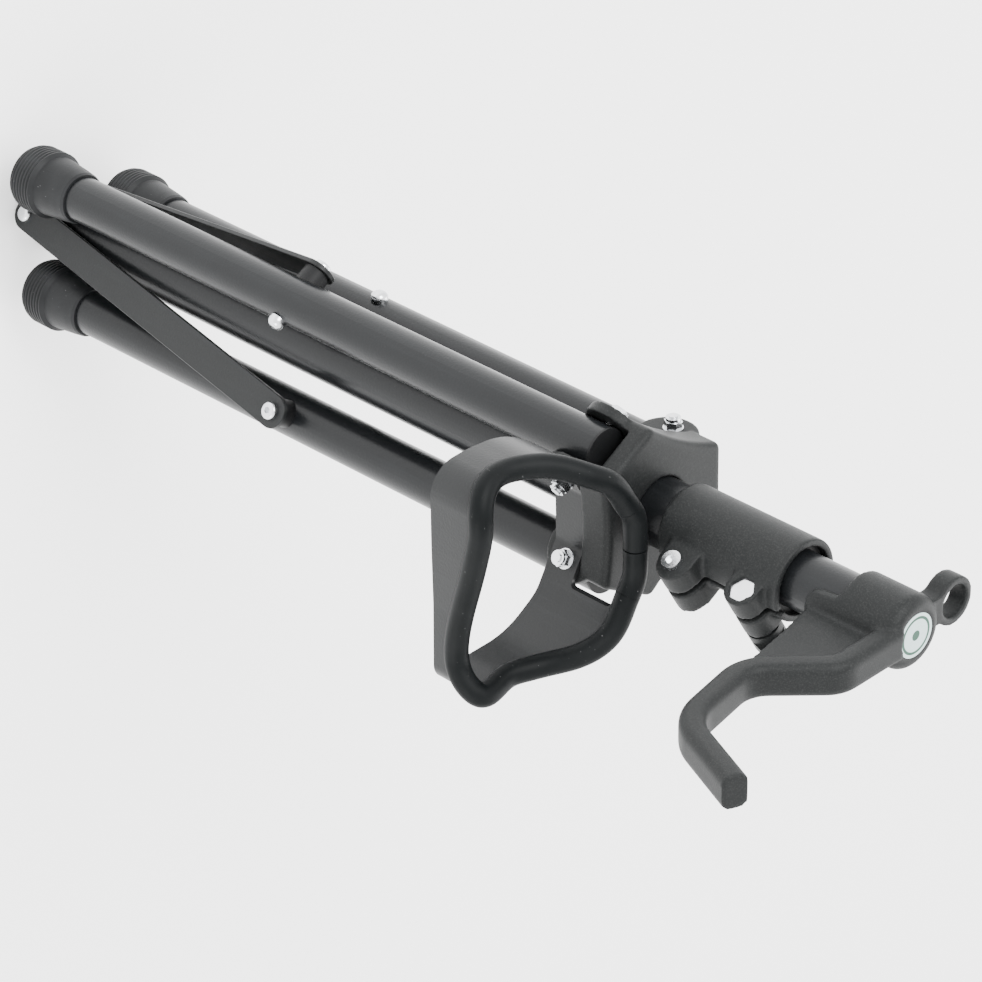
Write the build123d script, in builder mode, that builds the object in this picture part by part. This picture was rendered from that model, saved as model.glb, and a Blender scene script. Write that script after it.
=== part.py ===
from build123d import *
import os
from math import cos, pi, radians, sin

# Folding tripod stand for a saxophone, stored folded.
#
# Millimetres. The origin is the centre of the hub's flat underside, on the post's axis, and +Z runs up
# the post. +X points to the front, where the support ring and the hook's arm reach out.

os.makedirs("parts", exist_ok=True)


def save(part, name):
    """Label a finished piece and write it as its own STEP file."""
    part.label = name
    export_step(part, f"parts/{name}.step")


# ---- driving dimensions ------------------------------------------------------------------------

# Tube set
leg_radius = 11.0
post_radius = 15.0
extension_radius = 12.5
tube_wall = 1.5

# Tripod: three legs hinged under the head casting and braced to the hub at the foot of the post
leg_angles = {1: -60, 2: 180, 3: 60}
pivot_height = 393.4
pivot_reach = 33.0
folded_splay = 0.4
leg_top = 8.0
leg_length_below_pivot = 375.4
brace_pivot_drop = 186.4
hub_pivot_height = 9.0
hub_pivot_reach = 2.8

# Fasteners
m4_radius = 2.0
m5_radius = 2.5
m6_radius = 3.0
pin_clearance = 0.1
moving_gap = 0.3

# Head casting
casting_top = 417.0
casting_plate_thickness = 16.0
lobe_width = 33.0
lobe_reach = 38.0
waist_reach = 31.0
cheek_drop = 14.0
slot_width = 22.7
slot_reach = 14.3

# Clamp sleeve
sleeve_radius = 18.2
sleeve_bottom = 432.0
sleeve_top = 497.0
post_top = 466.0
ear_angle = 30
ear_half_depth = 13.0
ear_slit = 2.6

# Support ring
band_bottom = 384.5
band_thickness = 2.2
rim_radius = 5.2
window_half_width = 28.0
window_low = 400.5
window_high = 423.5

# Hook
hook_top = 555.0
socket_bottom = 525.4
tongue_bottom = 510.4
socket_radius = 16.2
badge_radius = 9.8
eyelet_centre = -29.9
eyelet_top = 550.5
eyelet_height = 9.0
eyelet_bore_radius = 7.3
eyelet_outer_radius = 10.8
arm_width = 15.0
arm_thickness = 11.0


# ---- frames ------------------------------------------------------------------------------------

def direction(angle):
    """Horizontal unit vector at an angle in degrees from +X."""
    return Vector(cos(radians(angle)), sin(radians(angle)), 0)


def leg_frame(angle):
    """A leg's own frame at its pivot: z up the leg, x away from the post, y to the left of x."""
    outward = direction(angle)
    lean = radians(folded_splay)
    up = outward * -sin(lean) + Vector(0, 0, cos(lean))
    along = outward * cos(lean) + Vector(0, 0, sin(lean))
    return Plane(origin=outward * pivot_reach + Vector(0, 0, pivot_height), x_dir=along, z_dir=up)


def across(frame, drop, offset=0.0):
    """A plane square to the leg's pivot pins, `drop` below the pivot and `offset` along the pins.

    Its normal runs along the frame's -y, the side on which the brace lies, and its y goes up the leg.
    """
    centre = frame.origin - frame.z_dir * drop - frame.y_dir * offset
    return Plane(origin=centre, x_dir=frame.x_dir, z_dir=frame.y_dir * -1)


# ---- legs --------------------------------------------------------------------------------------

plug_length = 24.0
plug_lip = 1.2
cap_floor = 5.0
cap_mouth_depth = 38.0
cap_mouth_radius = 12.7
cap_shoulder_radius = 14.7
cap_rib_radius = 16.6
cap_rib_depth = 0.7
cap_rib_count = 8
cap_ribbed_length = 17.0

bolt_clear = m4_radius + pin_clearance
foot_level = -leg_length_below_pivot
brace_bolt_radius = m5_radius


def make_leg_tube(number, frame):
    """Steel tube, open at the foot, drilled through for the pivot bolt and for the brace bolt."""
    with BuildPart() as leg_tube:
        with BuildSketch(frame.offset(foot_level + cap_floor)):
            Circle(leg_radius)
            Circle(leg_radius - tube_wall, mode=Mode.SUBTRACT)
        extrude(amount=leg_length_below_pivot - cap_floor + leg_top - plug_lip)
        for drop, radius in ((0, bolt_clear), (brace_pivot_drop, brace_bolt_radius)):
            with BuildSketch(across(frame, drop)):
                Circle(radius)
            extrude(amount=leg_radius + 1, both=True, mode=Mode.SUBTRACT)
    save(leg_tube.part, f"leg_tube_{number}")


def make_leg_plug(number, frame):
    """Nylon plug that closes the top of a leg and carries the pivot bolt."""
    with BuildPart() as leg_plug:
        with BuildSketch(frame.offset(leg_top - plug_length)):
            Circle(leg_radius - tube_wall)
        extrude(amount=plug_length - plug_lip)
        with BuildSketch(frame.offset(leg_top - plug_lip)):
            Circle(leg_radius)
        extrude(amount=plug_lip)
        with BuildSketch(across(frame, 0)):
            Circle(bolt_clear)
        extrude(amount=leg_radius + 1, both=True, mode=Mode.SUBTRACT)
    save(leg_plug.part, f"leg_plug_{number}")


def cap_outline():
    """Half section of a foot cap: distance from the leg's axis against height above the floor."""
    pitch = cap_ribbed_length / cap_rib_count
    points = [(0, 0), (cap_rib_radius - 3.0, 0)]
    for rib in range(cap_rib_count):
        low = rib * pitch
        rim = cap_rib_radius - (1.6 if rib == 0 else 0.5 if rib == 1 else 0)
        points += [(rim - cap_rib_depth, low + 0.15 * pitch), (rim, low + 0.4 * pitch)]
        points += [(rim, low + 0.75 * pitch), (rim - cap_rib_depth, low + pitch)]
    points += [
        (cap_shoulder_radius, cap_ribbed_length + 1.0),
        (cap_mouth_radius + 0.6, cap_mouth_depth - 6.0),
        (cap_mouth_radius, cap_mouth_depth - 1.5),
        (cap_mouth_radius - 0.6, cap_mouth_depth),
        (leg_radius, cap_mouth_depth),
        (leg_radius, cap_floor),
        (0, cap_floor),
    ]
    return points


def make_foot_cap(number, frame):
    """Rubber cap pushed over the foot of a leg, with eight fine ribs round its wide end."""
    floor = Plane(origin=frame.origin + frame.z_dir * foot_level, x_dir=frame.x_dir,
                  z_dir=frame.y_dir * -1)
    with BuildPart() as foot_cap:
        with BuildSketch(floor):
            with BuildLine():
                Polyline(*cap_outline(), close=True)
            make_face()
        revolve(axis=Axis(floor.origin, frame.z_dir))
    save(foot_cap.part, f"foot_cap_{number}")


# ---- brace pivots on the legs ------------------------------------------------------------------

spacer_length = 6.2
brace_thickness = 2.5
brace_width = 16.0
brace_inner = leg_radius + spacer_length
brace_outer = brace_inner + brace_thickness
head_height = 2.6
head_radius = 4.2
dome_nut_height = 4.6


def make_brace_fixings(number, frame):
    """The spacer, the pan-head bolt and the domed nut that hold a brace on its leg."""
    with BuildPart() as brace_spacer:
        with BuildSketch(across(frame, brace_pivot_drop, leg_radius - 3.2)):
            Circle(6.5)
        extrude(amount=spacer_length + 3.2)
        with BuildSketch(frame.offset(-brace_pivot_drop - 10)):
            Circle(leg_radius)
        extrude(amount=20, mode=Mode.SUBTRACT)
        with BuildSketch(across(frame, brace_pivot_drop)):
            Circle(brace_bolt_radius)
        extrude(amount=brace_outer, mode=Mode.SUBTRACT)
    save(brace_spacer.part, f"brace_spacer_{number}")

    nut_seat = -leg_radius + 0.2
    with BuildPart() as brace_bolt:
        with BuildSketch(across(frame, brace_pivot_drop, nut_seat)):
            Circle(brace_bolt_radius)
        extrude(amount=brace_outer + leg_radius - 0.2)
        with BuildSketch(across(frame, brace_pivot_drop, brace_outer + moving_gap)):
            Circle(head_radius)
        extrude(amount=head_height)
        fillet(brace_bolt.faces().sort_by(Axis(frame.origin, frame.y_dir * -1))[-1].edges(), 1.4)
        with BuildSketch(across(frame, brace_pivot_drop, brace_outer)):
            Circle(brace_bolt_radius)
        extrude(amount=moving_gap)
        with BuildSketch(across(frame, brace_pivot_drop, brace_outer + moving_gap + head_height)):
            RegularPolygon(1.7, 6)
        extrude(amount=-1.6, mode=Mode.SUBTRACT)
    save(brace_bolt.part, f"brace_bolt_{number}")

    with BuildPart() as brace_nut:
        with BuildSketch(across(frame, brace_pivot_drop, nut_seat)):
            Circle(head_radius)
        extrude(amount=-dome_nut_height)
        fillet(brace_nut.faces().sort_by(Axis(frame.origin, frame.y_dir))[-1].edges(), 3.4)
        with BuildSketch(frame.offset(-brace_pivot_drop - 10)):
            Circle(leg_radius)
        extrude(amount=20, mode=Mode.SUBTRACT)
    save(brace_nut.part, f"brace_nut_{number}")


# ---- braces ------------------------------------------------------------------------------------

def brace_plane(frame, angle, offset):
    """The plane of a brace: origin at its pivot on the leg, x running down to its pivot on the hub."""
    top = frame.origin - frame.z_dir * brace_pivot_drop
    foot = direction(angle) * hub_pivot_reach + Vector(0, 0, hub_pivot_height)
    run = foot - top
    return Plane(origin=top - frame.y_dir * offset, x_dir=run.normalized(), z_dir=frame.y_dir * -1), run.length


def make_brace(number, frame, angle):
    """Flat steel bar with round ends, and the rivet at its hub end."""
    inner, length = brace_plane(frame, angle, brace_inner + moving_gap / 2)
    with BuildPart() as brace_bar:
        with BuildSketch(inner):
            with Locations((length / 2, 0)):
                SlotCenterToCenter(length, brace_width)
            Circle(brace_bolt_radius + moving_gap / 2, mode=Mode.SUBTRACT)
            with Locations((length, 0)):
                Circle(m5_radius, mode=Mode.SUBTRACT)
        extrude(amount=brace_thickness - moving_gap / 2)
        faces = brace_bar.faces().filter_by(Axis(inner.origin, inner.z_dir))
        chamfer(faces.edges().filter_by(GeomType.LINE), 0.3)
    save(brace_bar.part, f"brace_bar_{number}")

    with BuildPart() as hub_rivet:
        with BuildSketch(inner):
            with Locations((length, 0)):
                Circle(m5_radius)
        extrude(amount=brace_thickness - moving_gap / 2)
        with BuildSketch(inner.offset(brace_thickness - moving_gap / 2)):
            with Locations((length, 0)):
                Circle(head_radius)
        extrude(amount=head_height)
        fillet(hub_rivet.faces().sort_by(Axis(inner.origin, inner.z_dir))[-1].edges(), 2.2)
    save(hub_rivet.part, f"hub_rivet_{number}")


for number, angle in leg_angles.items():
    frame = leg_frame(angle)
    make_leg_tube(number, frame)
    make_leg_plug(number, frame)
    make_foot_cap(number, frame)
    make_brace_fixings(number, frame)
    make_brace(number, frame, angle)


# ---- hub at the foot of the post ---------------------------------------------------------------

hub_height = 22.0
hub_plug_top = 44.0
hub_face = brace_inner - moving_gap
hub_boss_radius = 7.6
hub_pin_plane = Plane(origin=(0, 0, 33.0), x_dir=(0, 1, 0), z_dir=(1, 0, 0))

with BuildPart() as brace_hub:
    with BuildSketch():
        Circle(post_radius)
    extrude(amount=hub_height)
    for angle in leg_angles.values():
        left = direction(angle + 90)
        boss = Plane(origin=direction(angle) * hub_pivot_reach + Vector(0, 0, hub_pivot_height),
                     x_dir=direction(angle), z_dir=left * -1)
        with BuildSketch(boss):
            Circle(hub_boss_radius)
        extrude(amount=hub_face)
    fillet(brace_hub.faces().sort_by(Axis.Z)[0].edges(), 1.2)
    with BuildSketch(Plane.XY.offset(hub_height)):
        Circle(post_radius - tube_wall)
    extrude(amount=hub_plug_top - hub_height)
    with BuildSketch(hub_pin_plane):
        Circle(m4_radius)
    extrude(amount=post_radius + 1, both=True, mode=Mode.SUBTRACT)
    for angle in leg_angles.values():
        left = direction(angle + 90)
        face = Plane(origin=direction(angle) * hub_pivot_reach + Vector(0, 0, hub_pivot_height)
                     + left * -hub_face, x_dir=direction(angle), z_dir=left)
        with BuildSketch(face):
            Circle(m5_radius + pin_clearance)
        extrude(amount=6.5, mode=Mode.SUBTRACT)
save(brace_hub.part, "brace_hub")

with BuildPart() as hub_pin:
    with BuildSketch(hub_pin_plane):
        Circle(m4_radius + 1.6)
    extrude(amount=post_radius + 1.2, both=True)
    with BuildSketch(Plane.XY.offset(hub_pin_plane.origin.Z - 6)):
        Circle(post_radius)
    extrude(amount=12, mode=Mode.SUBTRACT)
    with BuildSketch(hub_pin_plane):
        Circle(m4_radius)
    extrude(amount=post_radius + 0.6, both=True)
save(hub_pin.part, "hub_pin")

with BuildPart() as post_tube:
    with BuildSketch(Plane.XY.offset(hub_height)):
        Circle(post_radius)
        Circle(post_radius - tube_wall, mode=Mode.SUBTRACT)
    extrude(amount=post_top - hub_height)
    with BuildSketch(hub_pin_plane):
        Circle(m4_radius)
    extrude(amount=post_radius + 1, both=True, mode=Mode.SUBTRACT)
save(post_tube.part, "post_tube")


# ---- head casting ------------------------------------------------------------------------------

casting_bottom = pivot_height - cheek_drop
plate_bottom = casting_top - casting_plate_thickness
boss_radius = 18.7
slot_top = pivot_height + slot_reach


def lobe_corner(angle, side):
    """Corner of a lobe's end, on its left (side = 1) or on its right (side = -1)."""
    return direction(angle) * lobe_reach + direction(angle + 90) * (side * lobe_width / 2)


with BuildPart() as head_casting:
    with BuildSketch(Plane.XY.offset(plate_bottom)) as plate_outline:
        with BuildLine():
            for angle in (-60, 60, 180):
                left_corner = lobe_corner(angle, 1)
                next_corner = lobe_corner(angle + 120, -1)
                Line(lobe_corner(angle, -1), left_corner)
                ThreePointArc(left_corner, direction(angle + 60) * waist_reach, next_corner)
        make_face()
        fillet(plate_outline.vertices(), 3.5)
    extrude(amount=casting_plate_thickness)
    fillet(head_casting.faces().sort_by(Axis.Z)[-1].edges(), 3.0)
    with BuildSketch(Plane.XY.offset(casting_bottom)):
        Circle(boss_radius)
    extrude(amount=plate_bottom - casting_bottom)
    for angle in leg_angles.values():
        left = direction(angle + 90)
        side = Plane(origin=left * (lobe_width / 2), x_dir=direction(angle), z_dir=left * -1)
        with BuildSketch(side):
            with Locations((pivot_reach - 4.0, pivot_height)):
                Circle(cheek_drop)
            with BuildLine():
                Polyline((pivot_reach - 4.0 - cheek_drop, pivot_height), (lobe_reach, pivot_height + 3.0),
                         (lobe_reach, plate_bottom + 1.0), (pivot_reach - 4.0 - cheek_drop, plate_bottom + 1.0),
                         close=True)
            make_face()
        extrude(amount=lobe_width)
    for angle in leg_angles.values():
        left = direction(angle + 90)
        middle = Plane(origin=left * (slot_width / 2), x_dir=direction(angle), z_dir=left * -1)
        with BuildSketch(middle):
            with Locations((pivot_reach - slot_reach, casting_bottom - 1.0)):
                Rectangle(lobe_reach, slot_top - casting_bottom + 1.0, align=(Align.MIN, Align.MIN))
        extrude(amount=slot_width, mode=Mode.SUBTRACT)
        through = Plane(origin=direction(angle) * pivot_reach + Vector(0, 0, pivot_height),
                        x_dir=direction(angle), z_dir=left)
        with BuildSketch(through):
            Circle(m4_radius)
        extrude(amount=lobe_width, both=True, mode=Mode.SUBTRACT)
    with BuildSketch(Plane.XY.offset(casting_bottom)):
        Circle(post_radius + moving_gap)
    extrude(amount=casting_top - casting_bottom, mode=Mode.SUBTRACT)
save(head_casting.part, "head_casting")


# ---- leg pivot bolts, nuts and washers ---------------------------------------------------------

washer_thickness = 0.8
washer_radius = 4.5
across_flats = 7.0
bolt_head_height = 2.8
nut_height = 5.0
nut_collar = 1.6
bolt_end = 0.8

# The side of each leg on which its lock nut sits: 1 is the leg's left, -1 its right. The nuts of legs 1
# and 3 face the front and also hold the support ring.
nut_side = {1: 1, 2: 1, 3: -1}


def pin_plane(angle, side, offset):
    """Plane square to a leg's pivot bolt, `offset` out from the leg's middle on the given side."""
    outward = direction(angle + 90) * side
    return Plane(origin=direction(angle) * pivot_reach + Vector(0, 0, pivot_height) + outward * offset,
                 x_dir=direction(angle), z_dir=outward)


def nut_seat(number):
    """How far from the leg's middle the nut's washer lies: the cheek, and the ring's band on two legs."""
    return lobe_width / 2 + (0 if number == 2 else band_thickness)


with BuildPart() as leg_pivot_bolts:
    for number, angle in leg_angles.items():
        side = nut_side[number]
        nut_end = nut_seat(number) + washer_thickness + nut_height + bolt_end
        head_seat = lobe_width / 2 + washer_thickness
        with BuildSketch(pin_plane(angle, -side, -nut_end)):
            Circle(m4_radius)
        extrude(amount=nut_end + head_seat)
        with BuildSketch(pin_plane(angle, -side, head_seat)):
            RegularPolygon(across_flats / 2, 6, major_radius=False)
        extrude(amount=bolt_head_height)
save(leg_pivot_bolts.part, "leg_pivot_bolts")

with BuildPart() as leg_pivot_washers:
    for number, angle in leg_angles.items():
        side = nut_side[number]
        for plane in (pin_plane(angle, side, nut_seat(number)), pin_plane(angle, -side, lobe_width / 2)):
            with BuildSketch(plane):
                Circle(washer_radius)
                Circle(m4_radius, mode=Mode.SUBTRACT)
            extrude(amount=washer_thickness)
save(leg_pivot_washers.part, "leg_pivot_washers")

with BuildPart() as leg_pivot_nuts:
    for number, angle in leg_angles.items():
        nut_plane = pin_plane(angle, nut_side[number], nut_seat(number) + washer_thickness)
        with BuildSketch(nut_plane):
            RegularPolygon(across_flats / 2, 6, major_radius=False)
            Circle(m4_radius, mode=Mode.SUBTRACT)
        extrude(amount=nut_height - nut_collar)
        with BuildSketch(nut_plane.offset(nut_height - nut_collar)):
            Circle(across_flats / 2 - 0.2)
            Circle(m4_radius, mode=Mode.SUBTRACT)
        extrude(amount=nut_collar)
save(leg_pivot_nuts.part, "leg_pivot_nuts")


# ---- support ring ------------------------------------------------------------------------------

# Plan of the band's middle surface. Its rear lies flat against the front cheeks of legs 1 and 3; the
# front corner on the +Y side is drawn out into a horn.
cheek_face = lobe_width / 2 + band_thickness / 2
cheek_start = 14.0
cheek_end = 36.0
right_outline = [(60.0, 48.0), (80.0, 49.4), (99.2, 48.2), (99.8, 14.0)]
right_radii = [40.0, 60.0, 13.0, 60.0]
left_outline = [(99.9, 14.0), (101.3, 53.6), (84.0, 48.8), (60.0, 48.0)]
left_radii = [60.0, 7.5, 30.0, 40.0]

# Height of the rim's middle line: along the sides by x, and across the front by y.
side_heights = [(20.0, 429.8), (40.0, 429.3), (48.4, 426.8), (54.7, 422.2), (59.7, 417.8), (65.8, 412.6),
                (74.0, 408.7), (80.0, 406.9), (85.0, 406.3), (92.0, 408.3)]
front_heights = [(-55.0, 407.3), (-46.0, 409.7), (-37.4, 412.4), (-28.0, 411.9), (-17.5, 409.4),
                 (-6.6, 406.2), (4.6, 402.6), (16.0, 399.1), (27.0, 397.2), (34.6, 396.9),
                 (40.4, 399.0), (45.5, 403.0), (49.0, 407.0), (55.0, 409.2)]
front_start = side_heights[-1][0]
rim_steps = 36
seam_gap = 0.4


def on_cheek(y):
    """Point of the band's middle surface on the plane of leg 3's front cheek."""
    return ((cheek_face + y * sin(radians(30))) / cos(radians(30)), y)


def mirrored(point):
    """The same point on the -Y side."""
    return (point[0], -point[1])


def along(heights, place):
    """Height at a place, in a straight line between the listed ones."""
    for (before, low), (after, high) in zip(heights, heights[1:]):
        if place <= after:
            return low + (high - low) * (place - before) / (after - before)
    return heights[-1][1]


def rim_point(place):
    """Point of the rim's middle line over a point of the plan."""
    height = along(side_heights, place.X) if place.X < front_start else along(front_heights, place.Y)
    return Vector(place.X, place.Y, height)


with BuildLine() as ring_line:
    FilletPolyline((on_cheek(cheek_start)[0], -seam_gap / 2),
                   mirrored(on_cheek(cheek_start)), mirrored(on_cheek(cheek_end)),
                   *(mirrored(point) for point in right_outline),
                   *left_outline, on_cheek(cheek_end), on_cheek(cheek_start),
                   (on_cheek(cheek_start)[0], seam_gap / 2),
                   radius=[5.0, 20.0, *right_radii, *left_radii, 20.0, 5.0])
ring_plan = ring_line.wires()[0]

with BuildPart() as support_band:
    for grow, mode in ((band_thickness / 2, Mode.ADD), (-band_thickness / 2, Mode.SUBTRACT)):
        with BuildSketch(Plane.XY.offset(band_bottom)):
            with BuildLine():
                add(ring_line.line)
                Line(ring_plan @ 1, ring_plan @ 0)
            make_face()
            offset(amount=grow)
        extrude(amount=60, mode=mode)
    # The band's upper edge runs inside the rim.
    with BuildSketch(Plane.XZ.offset(-70)):
        with BuildLine():
            Polyline(*side_heights, (front_start, 460), (20, 460), close=True)
        make_face()
    extrude(amount=140, mode=Mode.SUBTRACT)
    with BuildSketch(Plane.YZ.offset(front_start)):
        with BuildLine():
            Polyline(*front_heights, (60, 409.2), (60, 460), (-60, 460), (-60, 407.3), close=True)
        make_face()
    extrude(amount=20, mode=Mode.SUBTRACT)
    with BuildSketch(Plane.YZ.offset(cheek_face)):
        with Locations((0, (window_low + window_high) / 2)):
            RectangleRounded(2 * window_half_width, window_high - window_low, 2)
    extrude(amount=25, mode=Mode.SUBTRACT)
    for number in (1, 3):
        with BuildSketch(pin_plane(leg_angles[number], nut_side[number], lobe_width / 2 - 2)):
            Circle(m4_radius)
        extrude(amount=band_thickness + 4, mode=Mode.SUBTRACT)
save(support_band.part, "support_band")

with BuildLine() as rim_line:
    steps = [ring_plan.length * step / rim_steps for step in range(rim_steps + 1)]
    Spline(*(rim_point(ring_plan.position_at(step, position_mode=PositionMode.LENGTH)) for step in steps))

with BuildPart() as rim_rubber:
    with BuildSketch(Plane(rim_line.line @ 0, z_dir=rim_line.line % 0)):
        Circle(rim_radius)
    sweep(path=rim_line.line, is_frenet=True)
    add(support_band.part, mode=Mode.SUBTRACT)
save(rim_rubber.part, "rim_rubber")


# ---- clamp sleeve ------------------------------------------------------------------------------

lower_ear_height = 448.7
lower_ear_reach = 22.8
upper_ear_height = 483.5
upper_ear_reach = 19.6
ear_normal = direction(ear_angle + 90) * -1
hex_pocket_radius = 5.9
hex_pocket_depth = 5.0


def ear_plane(height, reach, offset):
    """Plane square to a clamp bolt: `offset` out from the slit on the side of the bolt's head."""
    return Plane(origin=direction(ear_angle) * reach + ear_normal * offset + Vector(0, 0, height),
                 x_dir=direction(ear_angle), z_dir=ear_normal)


with BuildPart() as clamp_sleeve:
    with BuildSketch(Plane.XY.offset(sleeve_bottom)):
        Circle(sleeve_radius)
    extrude(amount=sleeve_top - sleeve_bottom)
    fillet(clamp_sleeve.faces().sort_by(Axis.Z)[-1].edges(), 0.8)
    with BuildSketch(ear_plane(lower_ear_height, lower_ear_reach, -ear_half_depth)):
        Circle(7.8)
        with Locations((-9.0, 0)):
            Rectangle(18.0, 17.0)
    extrude(amount=2 * ear_half_depth)
    with BuildSketch(ear_plane(upper_ear_height, upper_ear_reach, -ear_half_depth)):
        Circle(7.7)
        with Locations((-7.0, 0)):
            Rectangle(14.0, 15.4)
    extrude(amount=2 * ear_half_depth)
    with BuildSketch(Plane.XY.offset(sleeve_bottom)):
        Circle(post_radius)
    extrude(amount=sleeve_top - sleeve_bottom, mode=Mode.SUBTRACT)
    slit_plane = Plane(origin=ear_normal * (-ear_slit / 2), x_dir=direction(ear_angle), z_dir=ear_normal)
    with BuildSketch(slit_plane):
        with Locations((post_radius - 3.0, sleeve_bottom - 1.0)):
            Rectangle(30.0, sleeve_top - sleeve_bottom + 2.0, align=(Align.MIN, Align.MIN))
    extrude(amount=ear_slit, mode=Mode.SUBTRACT)
    for height, reach, radius in ((lower_ear_height, lower_ear_reach, m5_radius),
                                  (upper_ear_height, upper_ear_reach, m6_radius)):
        with BuildSketch(ear_plane(height, reach, -20)):
            Circle(radius)
        extrude(amount=40, mode=Mode.SUBTRACT)
    with BuildSketch(ear_plane(upper_ear_height, upper_ear_reach, ear_half_depth)):
        RegularPolygon(hex_pocket_radius, 6, rotation=30)
    extrude(amount=-hex_pocket_depth, mode=Mode.SUBTRACT)
    with BuildSketch(ear_plane(lower_ear_height, lower_ear_reach, -ear_half_depth)):
        RegularPolygon(4.6, 6)
    extrude(amount=4.2, mode=Mode.SUBTRACT)
save(clamp_sleeve.part, "clamp_sleeve")

with BuildPart() as sleeve_screw:
    with BuildSketch(ear_plane(lower_ear_height, lower_ear_reach, -ear_half_depth + 0.4)):
        Circle(m5_radius)
    extrude(amount=2 * ear_half_depth - 0.4)
    with BuildSketch(ear_plane(lower_ear_height, lower_ear_reach, ear_half_depth)):
        Circle(4.25)
        RegularPolygon(2.3, 6, mode=Mode.SUBTRACT)
    extrude(amount=2.8)
    with BuildSketch(ear_plane(lower_ear_height, lower_ear_reach, ear_half_depth)):
        RegularPolygon(2.3, 6)
    extrude(amount=0.9)
save(sleeve_screw.part, "sleeve_screw")

with BuildPart() as sleeve_nut:
    with BuildSketch(ear_plane(lower_ear_height, lower_ear_reach, -ear_half_depth + 0.2)):
        RegularPolygon(4.6, 6)
        Circle(m5_radius, mode=Mode.SUBTRACT)
    extrude(amount=4.0)
save(sleeve_nut.part, "sleeve_nut")

knob_face = ear_half_depth + 1.0
knob_stem_length = 4.8
knob_hub_radius = 7.5
knob_height = 13.0
knob_span = 19.0
knob_tip_radius = 4.0

with BuildPart() as clamp_bolt:
    with BuildSketch(ear_plane(upper_ear_height, upper_ear_reach, ear_half_depth - hex_pocket_depth)):
        RegularPolygon(5.75, 6, rotation=30)
    extrude(amount=3.4)
    with BuildSketch(ear_plane(upper_ear_height, upper_ear_reach, ear_half_depth - hex_pocket_depth)):
        Circle(m6_radius)
    extrude(amount=-(2 * ear_half_depth - hex_pocket_depth + knob_height - 1.0))
save(clamp_bolt.part, "clamp_bolt")

with BuildPart() as clamp_washer:
    with BuildSketch(ear_plane(upper_ear_height, upper_ear_reach, -ear_half_depth)):
        Circle(6.0)
        Circle(m6_radius, mode=Mode.SUBTRACT)
    extrude(amount=-(knob_face - ear_half_depth - 0.05))
save(clamp_washer.part, "clamp_washer")

knob_insert_radius = 4.6
with BuildPart() as clamp_knob:
    with BuildSketch(ear_plane(upper_ear_height, upper_ear_reach, -knob_face)):
        Circle(knob_hub_radius)
    extrude(amount=-knob_stem_length)
    with BuildSketch(ear_plane(upper_ear_height, upper_ear_reach, -knob_face - knob_stem_length)):
        Circle(knob_hub_radius)
        with PolarLocations(knob_span - knob_tip_radius, 2, start_angle=60):
            Circle(knob_tip_radius)
        make_hull()
    extrude(amount=knob_stem_length - knob_height)
    fillet(clamp_knob.faces().sort_by(Axis((0, 0, 0), tuple(ear_normal * -1)))[-1].edges(), 1.6)
    with BuildSketch(ear_plane(upper_ear_height, upper_ear_reach, -knob_face)):
        Circle(knob_insert_radius)
    extrude(amount=-knob_height, mode=Mode.SUBTRACT)
save(clamp_knob.part, "clamp_knob")

with BuildPart() as knob_insert:
    with BuildSketch(ear_plane(upper_ear_height, upper_ear_reach, -knob_face)):
        Circle(knob_insert_radius)
        Circle(m6_radius + 0.05, mode=Mode.SUBTRACT)
    extrude(amount=-(knob_height + 0.6))
save(knob_insert.part, "knob_insert")


# ---- guide bushes and extension tube -----------------------------------------------------------

bush_length = 26.0
extension_bottom = 250.0
extension_top = 549.0
slider_length = 18.0

with BuildPart() as guide_bush:
    with BuildSketch(Plane.XY.offset(post_top)):
        Circle(post_radius)
    extrude(amount=sleeve_top - 4.0 - post_top)
    with BuildSketch(Plane.XY.offset(post_top - bush_length)):
        Circle(post_radius - tube_wall)
    extrude(amount=bush_length)
    with BuildSketch(Plane.XY.offset(post_top - bush_length)):
        Circle(extension_radius + pin_clearance)
    extrude(amount=100, mode=Mode.SUBTRACT)
    with BuildSketch(slit_plane):
        with Locations((5.0, post_top)):
            Rectangle(20.0, 60.0, align=(Align.MIN, Align.MIN))
    extrude(amount=ear_slit, mode=Mode.SUBTRACT)
save(guide_bush.part, "guide_bush")

with BuildPart() as extension_tube:
    with BuildSketch(Plane.XY.offset(extension_bottom)):
        Circle(extension_radius)
        Circle(extension_radius - tube_wall, mode=Mode.SUBTRACT)
    extrude(amount=extension_top - extension_bottom)
save(extension_tube.part, "extension_tube")

with BuildPart() as slider_bush:
    with BuildSketch(Plane.XY.offset(extension_bottom - 4.0)):
        Circle(post_radius - tube_wall - pin_clearance)
    extrude(amount=3.9)
    with BuildSketch(Plane.XY.offset(extension_bottom - 4.0)):
        Circle(extension_radius - tube_wall - pin_clearance)
    extrude(amount=slider_length)
    with BuildSketch(Plane.XY.offset(extension_bottom - 4.0)):
        Circle(7.0)
    extrude(amount=slider_length, mode=Mode.SUBTRACT)
save(slider_bush.part, "slider_bush")


# ---- hook head ---------------------------------------------------------------------------------

badge_recess = 1.0
neck_width = 13.0
neck_blend = 5.0
edge_round = 3.2
web_thickness = 5.0

# Middle line of the arm, out from the head, down, forward along the cradle and up to the tip.
arm_points = [(6.0, 551.3), (42.3, 551.3), (68.0, 525.3), (110.5, 533.3), (127.0, 574.2)]
arm_radii = [12.0, 18.0, 22.0]

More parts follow.
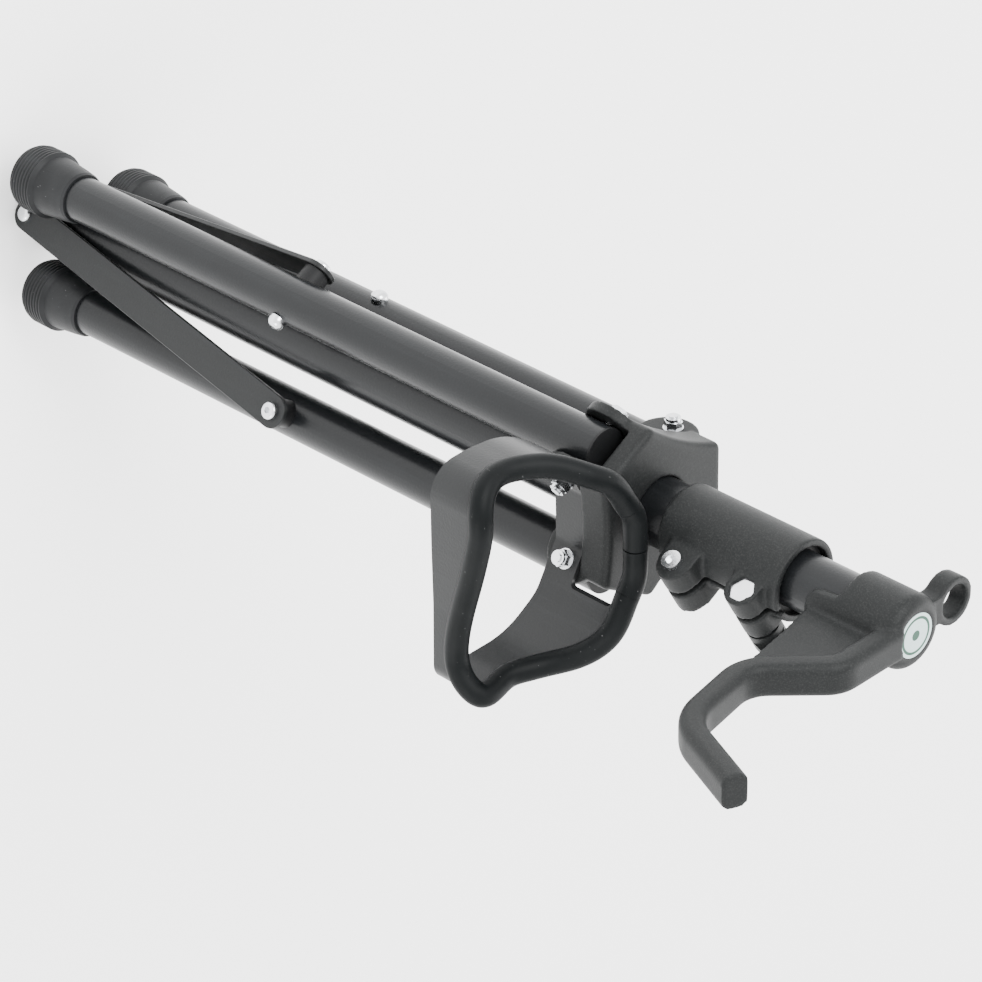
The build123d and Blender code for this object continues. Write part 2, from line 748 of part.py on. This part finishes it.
# The socket's lip reaches down in front as a tongue, drawn here as seen from the front.
with BuildPart() as tongue:
    with BuildSketch(Plane.XY.offset(tongue_bottom)):
        Circle(socket_radius)
    extrude(amount=hook_top - edge_round * 2 - tongue_bottom)
    with BuildSketch(Plane.YZ):
        with BuildLine():
            FilletPolyline((-30, hook_top), (-30, socket_bottom), (-9.7, socket_bottom), (-8.4, tongue_bottom),
                           (8.4, tongue_bottom), (9.7, socket_bottom), (30, socket_bottom), (30, hook_top),
                           radius=3.8, close=True)
        make_face()
    extrude(amount=40, mode=Mode.INTERSECT)

with BuildPart() as hook_head:
    with BuildSketch(Plane.XY.offset(socket_bottom)):
        Circle(socket_radius)
    extrude(amount=hook_top - socket_bottom)
    fillet(hook_head.faces().sort_by(Axis.Z)[-1].edges(), 5.2)
    add(tongue.part)
    # Eyelet and its neck, blended into the round of the head
    with BuildSketch(Plane.XY.offset(eyelet_top - eyelet_height)) as eyelet_plan:
        with Locations((eyelet_centre, 0)):
            Circle(eyelet_outer_radius)
        Circle(socket_radius - 1.0)
        with Locations((eyelet_centre / 2, 0)):
            Rectangle(-eyelet_centre, neck_width)
        fillet(eyelet_plan.vertices(), neck_blend)
    extrude(amount=eyelet_height)
    # Web between the socket and the underside of the arm
    with BuildSketch(Plane.XZ.offset(-web_thickness / 2)):
        with BuildLine():
            Polyline((13, 511.6), (22.4, 513.9), (38.4, 517.4), (60, 521.2), (68, 523.5), (42, 549.0),
                     (13, 549.0), close=True)
        make_face()
    extrude(amount=web_thickness)
    with BuildLine() as arm_line:
        FilletPolyline(*((x, 0, z) for x, z in arm_points), radius=arm_radii)
    with BuildSketch(Plane(arm_line.line @ 0, x_dir=(0, 1, 0), z_dir=arm_line.line % 0)):
        RectangleRounded(arm_width, arm_thickness, 3.8)
    sweep(path=arm_line.line)
    with BuildSketch(Plane.XY.offset(tongue_bottom - 1)):
        Circle(extension_radius)
    extrude(amount=extension_top - tongue_bottom + 1, mode=Mode.SUBTRACT)
    with BuildSketch(Plane.XY.offset(hook_top - badge_recess)):
        Circle(badge_radius)
    extrude(amount=10, mode=Mode.SUBTRACT)
    with BuildSketch(Plane.XY.offset(hook_top)):
        with Locations((eyelet_centre, 0)):
            Circle(eyelet_bore_radius)
    extrude(amount=-30, mode=Mode.SUBTRACT)
save(hook_head.part, "hook_head")

with BuildPart() as badge:
    with BuildSketch(Plane.XY.offset(hook_top - badge_recess)):
        Circle(badge_radius)
    extrude(amount=badge_recess - 0.1)
save(badge.part, "badge")
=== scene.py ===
import bmesh
import bpy
import numpy as np
from mathutils import Matrix, Vector


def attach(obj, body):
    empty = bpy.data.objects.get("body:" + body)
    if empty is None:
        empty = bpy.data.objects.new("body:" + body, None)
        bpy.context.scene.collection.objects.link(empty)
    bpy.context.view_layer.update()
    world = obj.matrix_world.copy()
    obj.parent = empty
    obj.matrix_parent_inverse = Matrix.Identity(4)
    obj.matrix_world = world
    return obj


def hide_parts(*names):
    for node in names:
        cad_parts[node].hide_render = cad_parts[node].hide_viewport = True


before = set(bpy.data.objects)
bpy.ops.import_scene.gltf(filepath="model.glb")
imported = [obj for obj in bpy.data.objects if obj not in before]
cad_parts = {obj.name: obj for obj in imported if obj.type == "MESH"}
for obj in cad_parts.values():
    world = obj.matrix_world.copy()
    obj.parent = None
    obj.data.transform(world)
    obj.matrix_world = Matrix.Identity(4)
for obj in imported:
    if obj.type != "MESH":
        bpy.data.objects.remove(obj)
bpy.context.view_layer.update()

# ---- Studio --------------------------------------------------------------------------------------
# The stand is looked at from its front right, above the hook, with the camera rolled so that the
# folded stand lies across the view. A pale floor and three broad soft lamps surround it.

camera_right = Vector((-0.71488, 0.02232, 0.69889))
camera_down = Vector((0.37260, 0.85793, 0.35373))
camera_place = Vector((0.8928, -0.7417, 1.2524))

camera_data = bpy.data.cameras.new("camera")
camera_data.sensor_width = 36.0
camera_data.lens = 125.0
camera_data.clip_end = 30.0
camera = bpy.data.objects.new("camera", camera_data)
bpy.context.scene.collection.objects.link(camera)
camera_up = -camera_down
camera_turn = Matrix((camera_right, camera_up, camera_right.cross(camera_up))).transposed()
camera.matrix_world = camera_turn.to_4x4()
camera.matrix_world.translation = camera_place
bpy.context.scene.camera = camera


def soft_lamp(name, place, aim, size, watts):
    """A square area lamp at `place`, turned to face `aim`."""
    lamp_data = bpy.data.lights.new(name, "AREA")
    lamp_data.shape = "SQUARE"
    lamp_data.size = size
    lamp_data.energy = watts
    lamp = bpy.data.objects.new(name, lamp_data)
    bpy.context.scene.collection.objects.link(lamp)
    lamp.location = place
    lamp.rotation_euler = (Vector(aim) - Vector(place)).to_track_quat("-Z", "Y").to_euler()


stand_middle = (0.02, 0.0, 0.3)
soft_lamp("key_lamp", (0.2, -1.6, 1.9), stand_middle, 1.2, 68.0)
soft_lamp("front_lamp", (1.9, 0.9, 0.9), stand_middle, 1.0, 24.0)
soft_lamp("back_lamp", (-1.6, 0.6, 1.5), stand_middle, 1.4, 30.0)

world = bpy.data.worlds.new("studio_air")
world.use_nodes = True
sky = world.node_tree.nodes["Background"]
sky.inputs["Color"].default_value = (1.0, 1.0, 1.0, 1.0)
sky.inputs["Strength"].default_value = 3.4
bpy.context.scene.world = world

floor_mesh = bpy.data.meshes.new("floor")
floor_half = 6.0
corner_sides = ((-1, -1), (1, -1), (1, 1), (-1, 1))
floor_mesh.from_pydata([(floor_half * x, floor_half * y, 0.0) for x, y in corner_sides], [],
                       [(0, 1, 2, 3)])
floor = bpy.data.objects.new("floor", floor_mesh)
bpy.context.scene.collection.objects.link(floor)
floor_paint = bpy.data.materials.new("floor_paint")
floor_paint.use_nodes = True
floor_surface = floor_paint.node_tree.nodes["Principled BSDF"]
floor_surface.inputs["Base Color"].default_value = (0.96, 0.96, 0.96, 1.0)
floor_surface.inputs["Roughness"].default_value = 0.9
floor_mesh.materials.append(floor_paint)

# ---- Powder-coated steel -------------------------------------------------------------------------
# The post, the extension tube, the legs, the brace bars and the support band are steel under black
# powder coat: satin, rippled like orange peel, dusty in places and rubbed along their length. The bars
# and the band are a little duller than the tubes.


class Value:
    """A shader socket. Sums, differences and products of values add Math nodes."""

    def __init__(self, finish, socket):
        self.finish = finish
        self.socket = socket

    def maths(self, operation, left, right):
        return self.finish.node("ShaderNodeMath", {"operation": operation}, {0: left, 1: right})

    def __add__(self, other):
        return self.maths("ADD", self, other)

    def __sub__(self, other):
        return self.maths("SUBTRACT", self, other)

    def __mul__(self, other):
        return self.maths("MULTIPLY", self, other)

    __radd__ = __add__


class Finish:
    """One procedural material: constants on its surface shader, and patterns fed to its sockets."""

    def __init__(self, name, **constants):
        self.material = bpy.data.materials.new(name)
        self.material.use_nodes = True
        self.tree = self.material.node_tree
        self.surface = self.tree.nodes["Principled BSDF"]
        for key, value in constants.items():
            self.surface.inputs[key.replace("_", " ")].default_value = value
        self.place = self.node("ShaderNodeTexCoord", {}, {}, "Object")

    def node(self, kind, settings, inputs, output=0):
        """Add a node, set it, then join or fill its inputs; the wanted output comes back as a Value."""
        added = self.tree.nodes.new(kind)
        for key, value in settings.items():
            setattr(added, key, value)
        for key, value in inputs.items():
            if isinstance(value, Value):
                self.tree.links.new(value.socket, added.inputs[key])
            else:
                added.inputs[key].default_value = value
        return Value(self, added.outputs[output])

    def noise(self, scale, detail=2.0, roughness=0.5, place=None):
        """Cloudy noise from 0 to 1; `scale` is patches per metre."""
        return self.node("ShaderNodeTexNoise", {}, {"Vector": place or self.place, "Scale": scale,
                                                    "Detail": detail, "Roughness": roughness})

    def stretched(self, x, y, z):
        """The object's own coordinates, scaled along each axis."""
        return self.node("ShaderNodeVectorMath", {"operation": "MULTIPLY"}, {0: self.place, 1: (x, y, z)})

    def between(self, value, low, high, to_low=0.0, to_high=1.0):
        """Spread a value's range low..high over to_low..to_high, held at both ends."""
        return self.node("ShaderNodeMapRange", {"clamp": True}, {"Value": value, "From Min": low,
                         "From Max": high, "To Min": to_low, "To Max": to_high})

    def blend(self, mask, first, second):
        """Mix two colours by a mask."""
        mix = self.tree.nodes.new("ShaderNodeMix")
        mix.data_type = "RGBA"
        self.tree.links.new(mask.socket, mix.inputs["Factor"])
        for slot, colour in (("A", first), ("B", second)):
            socket = next(s for s in mix.inputs if s.name == slot and s.type == "RGBA")
            if isinstance(colour, Value):
                self.tree.links.new(colour.socket, socket)
            else:
                socket.default_value = (*colour, 1.0)
        return Value(self, next(s for s in mix.outputs if s.type == "RGBA"))

    def feed(self, **values):
        """Join values to the surface shader's sockets."""
        for key, value in values.items():
            self.tree.links.new(value.socket, self.surface.inputs[key.replace("_", " ")])

    def relief(self, height, depth, under=None):
        """Bump of `depth` metres from a height between 0 and 1."""
        inputs = {"Height": height, "Strength": 1.0, "Distance": depth}
        if under:
            inputs["Normal"] = under
        return self.node("ShaderNodeBump", {}, inputs)


def powder_coat(name, colour, roughness):
    """Black powder coat: orange-peel ripple, dust in soft patches and faint lengthwise rubbing."""
    coat = Finish(name, Specular_IOR_Level=0.17)
    cloud = coat.noise(18.0, 3.0)
    rubbed = coat.between(coat.noise(60.0, 4.0, 0.6, coat.stretched(6.0, 6.0, 0.35)), 0.52, 0.8)
    dust = coat.between(coat.noise(2600.0, 2.0), 0.66, 0.8)
    light = tuple(1.6 * c for c in colour)
    base = coat.blend(coat.between(cloud, 0.3, 0.75, 0.0, 0.55), colour, light)
    base = coat.blend(rubbed * 0.25, base, tuple(3.0 * c for c in colour))
    base = coat.blend(dust * 0.12, base, (0.12, 0.12, 0.118))
    peel = coat.noise(950.0, 1.0)
    fine = coat.noise(3800.0, 2.0)
    coat.feed(Base_Color=base, Roughness=roughness + (cloud - 0.5) * 0.14 + rubbed * 0.1,
              Normal=coat.relief(fine, 0.000012, coat.relief(peel, 0.00006)))
    return coat.material


def paint(material, *nodes):
    """Give a material to CAD nodes."""
    for node in nodes:
        for material_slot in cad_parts[node].material_slots:
            material_slot.material = material


legs = (1, 2, 3)
tube_coat = powder_coat("tube_powder_coat", (0.0045, 0.005, 0.0055), 0.3)
bar_coat = powder_coat("bar_powder_coat", (0.006, 0.0066, 0.0068), 0.42)
band_coat = powder_coat("band_powder_coat", (0.0085, 0.009, 0.0093), 0.36)
paint(band_coat, "support_band")
paint(tube_coat, "post_tube", "extension_tube", *(f"leg_tube_{k}" for k in legs))
paint(bar_coat, *(f"brace_bar_{k}" for k in legs))

# ---- Grained nylon mouldings ---------------------------------------------------------------------
# The head casting, the clamp sleeve, the hook and the knob are glass-filled nylon with a fine spark
# grain. The three large ones get the soft edges and blended corners of a moulding.


def grained_nylon(name, colour, grain_depth, pale):
    """Black nylon with pebbled grain: cells and fine noise in relief, their tops painted paler as a
    painted highlight speckle.
    """
    nylon = Finish(name, Specular_IOR_Level=0.13)
    pebble = nylon.noise(1500.0, 3.0, 0.65)
    fine = nylon.noise(4200.0, 2.0, 0.6)
    worn = nylon.noise(45.0, 4.0, 0.6)
    painted_highlight_tops = nylon.between(pebble * 0.6 + fine * 0.4, 0.5, 0.66)
    base = nylon.blend(nylon.between(worn, 0.3, 0.72, 0.1, 0.7), colour, tuple(1.35 * c for c in colour))
    # Painted highlight: the tops of the grain are lightened towards pale grey, standing in for light
    # caught on the pebbles.
    base = nylon.blend(painted_highlight_tops * pale, base, (0.05, 0.051, 0.05))
    nylon.feed(Base_Color=base, Roughness=(worn - 0.5) * 0.12 + painted_highlight_tops * 0.08 + 0.5,
               Normal=nylon.relief(pebble * 0.65 + fine * 0.35, grain_depth))
    return nylon.material


def moulded(node, body, material, voxel, passes):
    """A softened copy of a CAD node: its mesh merged, cut into `voxel` cells and relaxed `passes` times.

    Each pass moves every point half way to the mean of its neighbours, so more passes give rounder
    edges and fuller inner corners.
    """
    shape = bmesh.new()
    shape.from_mesh(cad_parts[node].data)
    bmesh.ops.remove_doubles(shape, verts=shape.verts, dist=1e-6)
    mesh = bpy.data.meshes.new(f"{node}_moulding")
    shape.to_mesh(mesh)
    shape.free()
    rough = bpy.data.objects.new(f"{node}_rough", mesh)
    bpy.context.scene.collection.objects.link(rough)
    cells = rough.modifiers.new("cells", "REMESH")
    cells.mode = "VOXEL"
    cells.voxel_size = voxel
    relax = rough.modifiers.new("relax", "SMOOTH")
    relax.factor = 0.5
    relax.iterations = passes
    softened = rough.evaluated_get(bpy.context.evaluated_depsgraph_get())
    soft_mesh = bpy.data.meshes.new_from_object(softened)
    bpy.data.objects.remove(rough)
    soft_mesh.materials.clear()
    soft_mesh.materials.append(material)
    soft_mesh.polygons.foreach_set("material_index", np.zeros(len(soft_mesh.polygons), dtype=np.int32))
    soft_mesh.shade_smooth()
    piece = bpy.data.objects.new(f"{node}_moulding", soft_mesh)
    bpy.context.scene.collection.objects.link(piece)
    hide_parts(node)
    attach(piece, body)


moulding_nylon = grained_nylon("moulding_nylon", (0.0048, 0.0054, 0.0055), 0.00011, 0.3)
plain_nylon = grained_nylon("plain_nylon", (0.0045, 0.0047, 0.005), 0.00004, 0.1)
moulding_cell = 0.0008
moulded("hook_head", "hook", moulding_nylon, moulding_cell, 8)
moulded("head_casting", "head", moulding_nylon, moulding_cell, 4)
moulded("clamp_sleeve", "post", moulding_nylon, moulding_cell, 3)
paint(moulding_nylon, "clamp_knob")
paint(plain_nylon, "guide_bush", "slider_bush", *(f"leg_plug_{k}" for k in legs),
      *(f"brace_spacer_{k}" for k in legs))

# ---- Natural nylon hub ---------------------------------------------------------------------------
# The hub at the foot of the post is undyed nylon: milky, faintly yellow, with flow marks.

hub_nylon = Finish("hub_nylon", Specular_IOR_Level=0.45)
flow = hub_nylon.noise(70.0, 4.0, 0.6, hub_nylon.stretched(1.0, 1.0, 0.3))
hub_nylon.feed(Base_Color=hub_nylon.blend(flow, (0.45, 0.45, 0.43), (0.58, 0.58, 0.56)),
               Roughness=flow * 0.2 + 0.3, Normal=hub_nylon.relief(hub_nylon.noise(900.0), 0.00003))
paint(hub_nylon.material, "brace_hub")

# ---- Rubber --------------------------------------------------------------------------------------
# The foot caps and the rim of the support ring are matt black rubber with a faint bloom.


def rubber(name, colour, bloom, sheen):
    """Black rubber: fine skin texture, soft clouds of pale bloom and a few specks of dust."""
    skin = Finish(name, Specular_IOR_Level=sheen)
    cloud = skin.noise(40.0, 4.0, 0.55)
    pores = skin.noise(2400.0, 3.0, 0.6)
    specks = skin.between(skin.noise(700.0, 2.0), 0.72, 0.78)
    base = skin.blend(skin.between(cloud, 0.35, 0.75, 0.0, bloom), colour, (0.03, 0.031, 0.032))
    skin.feed(Base_Color=skin.blend(specks * 0.35, base, (0.2, 0.2, 0.2)),
              Roughness=(cloud - 0.5) * 0.15 + 0.48, Normal=skin.relief(pores, 0.00005))
    return skin.material


paint(rubber("cap_rubber", (0.006, 0.0065, 0.007), 0.35, 0.13), *(f"foot_cap_{k}" for k in legs))
paint(rubber("rim_rubber_skin", (0.0016, 0.0022, 0.0024), 0.12, 0.07), "rim_rubber")

# ---- Zinc-plated fasteners -----------------------------------------------------------------------
# Bolts, lock nuts, washers and rivets are bright zinc over turned steel, slightly clouded.

zinc = Finish("bright_zinc", Metallic=1.0)
clouding = zinc.noise(260.0, 3.0, 0.6)
turning = zinc.noise(3000.0, 2.0, 0.5, zinc.stretched(1.0, 1.0, 3.0))
zinc.feed(Base_Color=zinc.blend(clouding, (0.5, 0.51, 0.53), (0.7, 0.71, 0.72)),
          Roughness=clouding * 0.16 + 0.12, Normal=zinc.relief(turning, 0.00002))
paint(zinc.material, "leg_pivot_bolts", "leg_pivot_washers", "leg_pivot_nuts", "hub_pin", "sleeve_screw",
      "sleeve_nut", "clamp_bolt", "clamp_washer", *(f"{part}_{k}" for k in legs
      for part in ("brace_bolt", "brace_nut", "hub_rivet")))

brass = Finish("turned_brass", Metallic=1.0)
tarnish = brass.noise(300.0, 3.0, 0.6)
brass.feed(Base_Color=brass.blend(tarnish, (0.60, 0.44, 0.17), (0.80, 0.63, 0.31)),
           Roughness=tarnish * 0.2 + 0.2, Normal=brass.relief(brass.noise(2500.0), 0.00002))
paint(brass.material, "knob_insert")

# ---- Badge ---------------------------------------------------------------------------------------
# A printed disc under clear lacquer: pale ground with one thin green ring and a green dot.

label = Finish("badge_print", Coat_Weight=0.12, Coat_Roughness=0.06, Roughness=0.35,
               Specular_IOR_Level=0.1)
ring_radius = 0.0078
ring_half_width = 0.00055
dot_radius = 0.0022
soft_edge = 0.0001
flat_place = label.stretched(1.0, 1.0, 0.0)
reach = label.node("ShaderNodeVectorMath", {"operation": "LENGTH"}, {0: flat_place}, "Value")


def printed_ring(middle, half_width):
    """Mask that is 1 within half_width of a circle of radius middle, with a soft printed edge."""
    away = label.node("ShaderNodeMath", {"operation": "ABSOLUTE"}, {0: reach - middle})
    return label.between(away, half_width, half_width + soft_edge, 1.0, 0.0)


paper = label.blend(label.noise(900.0), (0.34, 0.43, 0.42), (0.42, 0.51, 0.50))
green = (0.0, 0.04, 0.02)
printed = label.blend(printed_ring(ring_radius, ring_half_width), paper, green)
printed = label.blend(printed_ring(0.0, dot_radius), printed, green)
label.feed(Base_Color=printed, Normal=label.relief(label.noise(1500.0), 0.00001))
paint(label.material, "badge")
